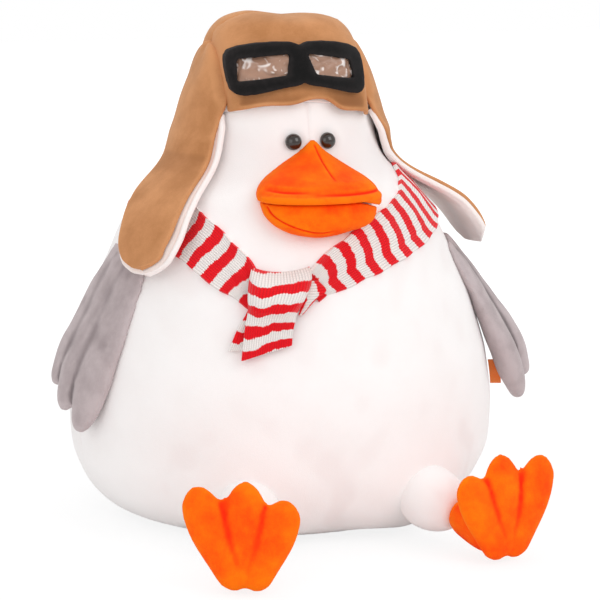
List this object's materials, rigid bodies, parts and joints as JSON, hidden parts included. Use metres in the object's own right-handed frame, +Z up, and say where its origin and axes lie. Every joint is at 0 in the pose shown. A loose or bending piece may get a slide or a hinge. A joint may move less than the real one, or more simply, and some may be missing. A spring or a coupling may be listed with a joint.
{
  "type": "plush duck",
  "caption": "Sitting plush duck with stuffed wings and feet, a suede flying hat with ear flaps and goggles, and a knotted striped scarf.",
  "frame": {"origin": "centre of the flat base that the duck sits on", "axes": "+Z up, -Y the way the duck faces, +X towards its own left"},
  "size_m": [0.3111, 0.3251, 0.3161],
  "materials": {
    "white_plush": "short dense pile",
    "polyester_filling": "loose fibre",
    "brown_suede": "brushed suede cloth",
    "fleece_lining": "fleece",
    "black_felt": "felt",
    "clear_vinyl": "crinkled clear sheet",
    "orange_velour": "velour",
    "grey_plush": "short brushed pile",
    "striped_knit": "knitted, red and off-white stripes",
    "glossy_bead": "polished",
    "orange_ribbon": "woven ribbon, bare",
    "plastic_washer": "plain"
  },
  "bodies": {
    "body": {"body_skin": "white_plush", "base_panel": "white_plush", "stuffing": "polyester_filling", "eye_left": "glossy_bead", "eye_right": "glossy_bead", "eye_washer_left": "plastic_washer", "eye_washer_right": "plastic_washer", "beak_upper": "orange_velour", "beak_lower": "orange_velour", "hat_lining": "fleece_lining", "hat_centre": "brown_suede", "hat_side_left": "brown_suede", "hat_side_right": "brown_suede", "goggle_frame": "black_felt", "goggle_lens_left": "clear_vinyl", "goggle_lens_right": "clear_vinyl", "scarf_band": "striped_knit", "scarf_knot": "striped_knit", "side_tab": "orange_ribbon"},
    "flap_left": {"ear_flap_left": "brown_suede", "flap_lining_left": "fleece_lining"},
    "wing_left": {"wing_left": "grey_plush"},
    "leg_left": {"thigh_left": "white_plush"},
    "foot_left": {"ankle_left": "orange_velour", "foot_left": "orange_velour"},
    "flap_right": {"ear_flap_right": "brown_suede", "flap_lining_right": "fleece_lining"},
    "wing_right": {"wing_right": "grey_plush"},
    "leg_right": {"thigh_right": "white_plush"},
    "foot_right": {"ankle_right": "orange_velour", "foot_right": "orange_velour"},
    "front_tail": {"scarf_tail_front": "striped_knit"},
    "back_tail": {"scarf_tail_back": "striped_knit"}
  },
  "joints": [
    {"name": "ear_flap_left_lift", "type": "hinge", "parent": "body", "child": "flap_left", "pos_m": [0.06504, -0.00751, 0.25576], "axis": [-0.1219, -0.9925, 0], "range_deg": [0, 100]},
    {"name": "wing_left_lift", "type": "hinge", "parent": "body", "child": "wing_left", "pos_m": [0.10663, -0.01767, 0.17338], "axis": [-0.1394, -0.9846, -0.1052], "range_deg": [0, 30]},
    {"name": "hip_left_bend", "type": "hinge", "parent": "body", "child": "leg_left", "pos_m": [0.05754, -0.12149, 0.02854], "axis": [-0.875, -0.4842, 0], "range_deg": [-20, 35], "stiffness_Nm_per_rad": 0.05},
    {"name": "ankle_left_bend", "type": "hinge", "parent": "leg_left", "child": "foot_left", "pos_m": [0.07215, -0.14788, 0.02135], "axis": [-0.875, -0.4842, 0], "range_deg": [-20, 25], "stiffness_Nm_per_rad": 0.02},
    {"name": "ear_flap_right_lift", "type": "hinge", "parent": "body", "child": "flap_right", "pos_m": [-0.06488, -0.00749, 0.25576], "axis": [-0.1219, 0.9925, 0], "range_deg": [0, 100]},
    {"name": "wing_right_lift", "type": "hinge", "parent": "body", "child": "wing_right", "pos_m": [-0.1055, -0.0229, 0.17338], "axis": [-0.1394, 0.9846, 0.1052], "range_deg": [0, 30]},
    {"name": "hip_right_bend", "type": "hinge", "parent": "body", "child": "leg_right", "pos_m": [-0.05754, -0.12149, 0.02854], "axis": [-0.9554, 0.2953, 0], "range_deg": [-20, 35], "stiffness_Nm_per_rad": 0.05},
    {"name": "ankle_right_bend", "type": "hinge", "parent": "leg_right", "child": "foot_right", "pos_m": [-0.06652, -0.15052, 0.02236], "axis": [-0.9554, 0.2953, 0], "range_deg": [-20, 25], "stiffness_Nm_per_rad": 0.02},
    {"name": "scarf_front_tail_lift", "type": "hinge", "parent": "body", "child": "front_tail", "pos_m": [-0.03838, -0.11443, 0.14969], "axis": [-0.9537, 0.3007, 0], "range_deg": [0, 85]},
    {"name": "scarf_back_tail_swing", "type": "hinge", "parent": "body", "child": "back_tail", "pos_m": [-0.04426, -0.10562, 0.14119], "axis": [0.3232, 0.8729, -0.3654], "range_deg": [0, 30]}
  ]
}
